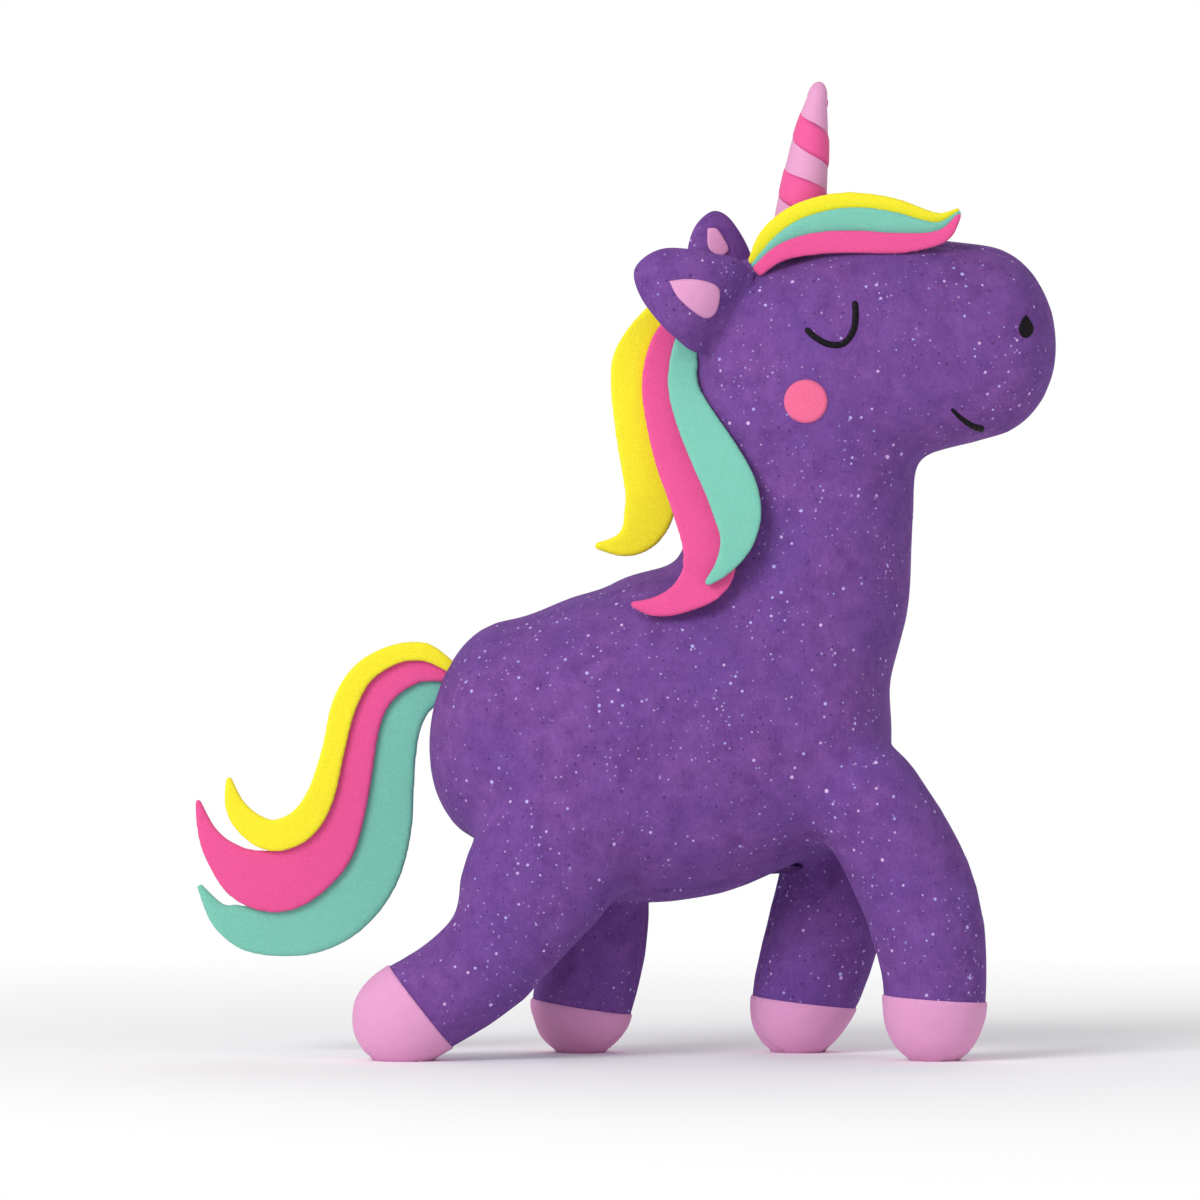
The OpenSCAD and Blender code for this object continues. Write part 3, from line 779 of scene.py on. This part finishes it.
def on_surface(tree, x, z, side):
    """Where a line across the toy at x, z, from one side, first meets the surface, and the way out there."""
    start = Vector((x, side * 200, z)) * MM
    spot, normal, _, _ = tree.ray_cast(start, Vector((0, -side, 0)))
    if spot is None:
        spot, normal, _, _ = tree.find_nearest(Vector((x, side * 15, z)) * MM)
    return spot, normal if normal.y * side > 0 else -normal


# ---------------------------------------------------------------- face
EYE = [(53.2, 218.6), (56.2, 215.8), (60.2, 213.8), (64.4, 214), (67.3, 217.6), (68.1, 222.2), (67.9, 226.8)]
SMILE = [(96.8, 194.6), (99.8, 191.7), (103.4, 189.3), (107, 188.2)]
NOSTRIL = [(119.2, 222.6), (120.9, 220), (121.3, 217.6), (119.9, 215.8), (118, 216), (116.9, 218),
           (117.7, 220.8)]
CHEEK_CENTRE, CHEEK_R = (53.3, 196.8), 6.5


def stitch_line(name, points, tree, side, widths, height, smoothing=8, around=9):
    """A raised line of satin stitch that lies on the surface."""
    line = smooth_line(points, smoothing)
    n = len(line)
    rows = []
    for i, (x, z) in enumerate(line):
        t = i / (n - 1)
        width = widths[0] + (widths[1] - widths[0]) * t
        end = min(i, n - 1 - i) * np.linalg.norm(line[1] - line[0])
        half = width / 2 * math.sqrt(max(0.02, 1 - max(0, 1 - end / (width / 2)) ** 2))
        way = line[min(i + 1, n - 1)] - line[max(i - 1, 0)]
        way = way / np.linalg.norm(way)
        across = np.array((-way[1], way[0]))
        row = []
        for k in range(around):
            u = math.pi * k / (around - 1)
            px, pz = np.array((x, z)) + across * half * math.cos(u)
            spot, normal = on_surface(tree, px, pz, side)
            row.append(spot + normal * (height * (half / (width / 2)) * math.sin(u) ** 0.8 - 0.1) * MM)
        spot, normal = on_surface(tree, x, z, side)
        row.append(spot - normal * 0.5 * MM)
        rows.append(row)
    obj = new_object(name, [v for row in rows for v in row], tube_faces(n, around + 1), 1)
    cleaned(obj, 1e-7)
    remember_rest(obj)
    return obj


def face(tree, black, cheek_felt):
    angle = np.linspace(0, 2 * np.pi, 25)[:-1]
    disc = [(CHEEK_CENTRE[0] + CHEEK_R * math.cos(a), CHEEK_CENTRE[1] + CHEEK_R * math.sin(a)) for a in angle]
    for side, word in ((-1, "right"), (1, "left")):
        eye = stitch_line("eye_thread_" + word, EYE, tree, side, (1.9, 2.0), 0.6)
        smile = stitch_line("smile_thread_" + word, SMILE, tree, side, (1.0, 2.3), 0.6)
        nostril = patch("nostril_thread_" + word, NOSTRIL, tree, side, 0.6, 0.3)
        cheek = patch("cheek_felt_" + word, disc, tree, side, 0.9, 0.3, steps=3)
        for piece, node_name in ((eye, "eye_stitching_"), (smile, "smile_stitching_"), (nostril, "nostril_")):
            paint(piece, black)
            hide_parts(node_name + word)
            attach(piece, "head")
        paint(cheek, cheek_felt)
        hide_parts("cheek_patch_" + word)
        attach(cheek, "head")


# ---------------------------------------------------------------- horn
HORN = [(51.4, 0, 243, 8.6), (52.6, 0, 256, 7.4), (54, 0, 267, 6.3), (55.5, 0, 278, 4.9), (57, 0, 287, 3.1)]
HORN_TIP = 5.5
RIBBON_TURNS, RIBBON_ANGLE = 2.3, 124.0     # the angle is where the ribbon starts at the foot
RIBBON_FOOT, RIBBON_TOP = 0.07, 0.97        # in parts of the horn's length
RIBBON_H = 0.42                             # how far it stands out
RIBBON_COVER = 1.12                         # its width, in halves of a turn's rise


def horn_point(line, u, angle, out):
    at = u * (len(line) - 1)
    i = min(int(at), len(line) - 2)
    x, y, z, r = line[i] + (line[i + 1] - line[i]) * (at - i)
    return np.array((x + (r + out) * math.cos(angle), y + (r + out) * math.sin(angle), z))


def horn(horn_cloth, band_cloth):
    line = smooth_line(HORN, 14)
    stations = [(x, y, z, r, r) for x, y, z, r in HORN]
    cover = new_object("horn", *form(stations, (3, HORN_TIP), sides=48, steps=14, square=2.0))
    remember_rest(cover)
    paint(cover, horn_cloth)
    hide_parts("horn_cover", "horn_stuffing")
    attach(cover, "horn")
    ribbon = new_object("horn_ribbon_band", *wound_ribbon(line))
    cleaned(ribbon, 1e-7)
    remember_rest(ribbon)
    paint(ribbon, band_cloth)
    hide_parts("horn_ribbon")
    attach(ribbon, "horn")


def wound_ribbon(line, steps=150, across=7):
    """The ribbon that winds up the horn and covers half of it, with its ends tucked in."""
    rise = RIBBON_TOP - RIBBON_FOOT
    verts = []
    for i in range(steps + 1):
        u = RIBBON_FOOT + rise * i / steps
        angle = math.radians(RIBBON_ANGLE - 360 * RIBBON_TURNS * i / steps)
        half = RIBBON_COVER * rise / RIBBON_TURNS / 4 * min(1, 0.35 + min(i, steps - i) / 8)
        for v in np.linspace(-1, 1, across):
            out = RIBBON_H * (1 - abs(v) ** 5) ** 0.5 - 0.02
            verts.append(horn_point(line, min(max(u + v * half, 0), 1), angle, out))
        for v in (0.9, -0.9):
            verts.append(horn_point(line, min(max(u + v * half, 0), 1), angle, -0.5))
    return np.array(verts), tube_faces(steps + 1, across + 2)


# ---------------------------------------------------------------- felt strands
# Flat sizes of the cut strands: width and length in metres, and the area of felt.
STRANDS = {
    ("mane", "yellow"): (0.0155, 0.112, 0.00108), ("mane", "pink"): (0.0158, 0.130, 0.00120),
    ("mane", "teal"): (0.0156, 0.104, 0.00092), ("forelock", "yellow"): (0.010, 0.075, 0.00038),
    ("forelock", "teal"): (0.010, 0.072, 0.00040), ("forelock", "pink"): (0.010, 0.070, 0.00036),
    ("tail", "yellow"): (0.010, 0.128, 0.00078), ("tail", "pink"): (0.0192, 0.140, 0.00162),
    ("tail", "teal"): (0.0184, 0.152, 0.00186),
}
# How far a tuft's felt waves to and fro, and the piece that it hangs against.
TUFTS = {"mane": (0.55, "torso_skin"), "forelock": (0.3, "head_skin"), "tail": (0.55, "torso_skin")}


def strand(tuft, colour, felt_mat):
    """A felt strand: its CAD solid with the corners rounded off by remeshing, and a slight wave."""
    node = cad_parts[tuft + "_" + colour]
    obj = bpy.data.objects.new(tuft + "_felt_" + colour, node.data.copy())
    scene.collection.objects.link(obj)
    cleaned(obj, 1e-6)
    apply_modifier(obj, "REMESH", mode="VOXEL", voxel_size=STRAND_VOXEL * MM)
    co = relax(coords(obj), edges_of(obj), 5)
    set_coords(obj, co)
    co = co + normals_of(obj) * STRAND_SWELL * MM
    wave, rests_on = TUFTS[tuft]
    x, z = co[:, 0] / MM, co[:, 2] / MM
    bend = wave * (np.sin((x + z) / 19) + 0.5 * np.sin((x - z) / 11 + 1))
    co[:, 1] += bend * MM
    set_coords(obj, co)
    remember_rest(obj)
    paint(obj, felt_mat)
    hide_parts(tuft + "_" + colour)
    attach(obj, tuft)


# ---------------------------------------------------------------- the whole toy
# The CAD nodes that each part of the body's skin stands for.
COVERS = {"torso_skin": ["torso_stuffing", "side_panel_right", "side_panel_left", "belly_panel"],
          "head_skin": ["head_stuffing", "face_panel_right", "face_panel_left", "forehead_panel"]}


def dress_hoof(piece, leg_name, hoof_felt):
    paint(piece, hoof_felt)
    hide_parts("hoof_" + leg_name)
    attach(piece, "leg_" + leg_name)


def dress_leg(piece, leg_name, plush):
    """The leg's cloth takes the place of the leg's cover and stuffing, fixed where it lies at rest."""
    paint(piece, plush)
    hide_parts("leg_cover_" + leg_name, "leg_stuffing_" + leg_name)
    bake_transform(piece)


def dress_body(piece, name, plush):
    """The torso's cloth rides the torso; the head's is fixed where it lies at rest."""
    paint(piece, plush)
    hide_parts(*COVERS[name])
    if name == "torso_skin":
        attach(piece, "torso")
    else:
        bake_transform(piece)


def build():
    plush = glitter_plush()
    hoof_felt = felt("hoof_felt", srgb(226, 158, 203), fuzz=0.05)
    cheek_felt = felt("cheek_felt", srgb(240, 110, 152))
    felts = {"yellow": felt("yellow_felt", srgb(250, 234, 50)), "pink": felt("pink_felt", srgb(236, 88, 152)),
             "teal": felt("teal_felt", srgb(124, 199, 179))}
    horn_cloth = ribbon_cloth("horn_cloth", srgb(226, 158, 200))
    band_cloth = ribbon_cloth("horn_band_cloth", srgb(236, 88, 154))
    black = thread("black_thread", srgb(16, 11, 20))
    made, tree = skin_pieces()
    for name, piece in made.items():
        remember_rest(piece)
        if name.startswith("hoof_"):
            dress_hoof(piece, name[5:], hoof_felt)
        elif name.startswith("leg_"):
            dress_leg(piece, name[4:], plush)
        else:
            dress_body(piece, name, plush)
    ears(plush, hoof_felt)
    face(tree, black, cheek_felt)
    horn(horn_cloth, band_cloth)
    for tuft, colour in STRANDS:
        strand(tuft, colour, felts[colour])


# ---------------------------------------------------------------- floor, light and camera, in metres
# Each lamp's place, width and power in watts.
LAMPS = {"key": ((-1.1, -1.45, 1.05), 0.9, 25), "fill": ((1.3, -1.5, 0.7), 1.4, 2),
         "back": ((0.2, 1.6, 1.2), 1.2, 6)}
LIT_POINT = (0, 0, 0.14)
AMBIENT = 0.55
FLOOR_COLOUR, FLOOR_SIZE = (0.98, 0.975, 0.985, 1), 12
FLOOR_PALE_R, FLOOR_WHITE_R = 0.2, 0.62     # from the middle of the toy
VIEW_WIDTH = 0.36                           # across the picture, at the toy
VIEW_TARGET = (-8, 0, 137)                  # millimetres
LENS, SENSOR = 400, 36                      # millimetres
TILT = 1.3                                  # degrees that the camera looks down


def light(name, place, size, power):
    data = bpy.data.lights.new(name, "AREA")
    data.size = size
    data.energy = power
    lamp = bpy.data.objects.new(name, data)
    lamp.location = place
    lamp.rotation_euler = (Vector(LIT_POINT) - Vector(place)).to_track_quat("-Z", "Y").to_euler()
    scene.collection.objects.link(lamp)


def world_light():
    """White surroundings that light the toy at AMBIENT of their own brightness."""
    world = bpy.data.worlds.new("studio")
    scene.world = world
    world.use_nodes = True
    nodes, links = world.node_tree.nodes, world.node_tree.links
    background = nodes["Background"]
    background.inputs["Color"].default_value = (1, 1, 1, 1)
    seen = nodes.new("ShaderNodeLightPath").outputs["Is Camera Ray"]
    strength = nodes.new("ShaderNodeMapRange")
    strength.inputs["To Min"].default_value = AMBIENT
    links.new(seen, strength.inputs["Value"])
    links.new(strength.outputs["Result"], background.inputs["Strength"])


def floor_look():
    """Pale under the toy, and turning to plain white further out, so that no horizon shows."""
    look = Look("floor")
    place = look.node("ShaderNodeNewGeometry").outputs["Position"]
    away = look.node("ShaderNodeVectorMath", operation="LENGTH")
    look.feed(away.inputs[0], place)
    share = look.ramp(away.outputs["Value"], FLOOR_PALE_R, FLOOR_WHITE_R)
    return look.finish(Base_Color=look.mix(share, FLOOR_COLOUR, (0, 0, 0, 1)), Roughness=0.9,
                       Specular_IOR_Level=0.0, Emission_Color=(1, 1, 1, 1), Emission_Strength=share)


def camera():
    data = bpy.data.cameras.new("camera")
    cam = bpy.data.objects.new("camera", data)
    scene.collection.objects.link(cam)
    data.lens = LENS
    data.sensor_width = SENSOR
    target = Vector(VIEW_TARGET) * MM
    away = VIEW_WIDTH * LENS / SENSOR
    tilt = math.radians(TILT)
    cam.location = target + Vector((0, -math.cos(tilt), math.sin(tilt))) * away
    cam.rotation_euler = (target - cam.location).to_track_quat("-Z", "Y").to_euler()
    return cam


def studio():
    world_light()
    for name, (place, size, power) in LAMPS.items():
        light(name, place, size, power)
    bpy.ops.mesh.primitive_plane_add(size=FLOOR_SIZE)
    floor = bpy.context.object
    floor.name = "floor"
    floor.data.materials.append(floor_look())
    scene.view_settings.view_transform = "Standard"
    scene.camera = camera()


build()
studio()
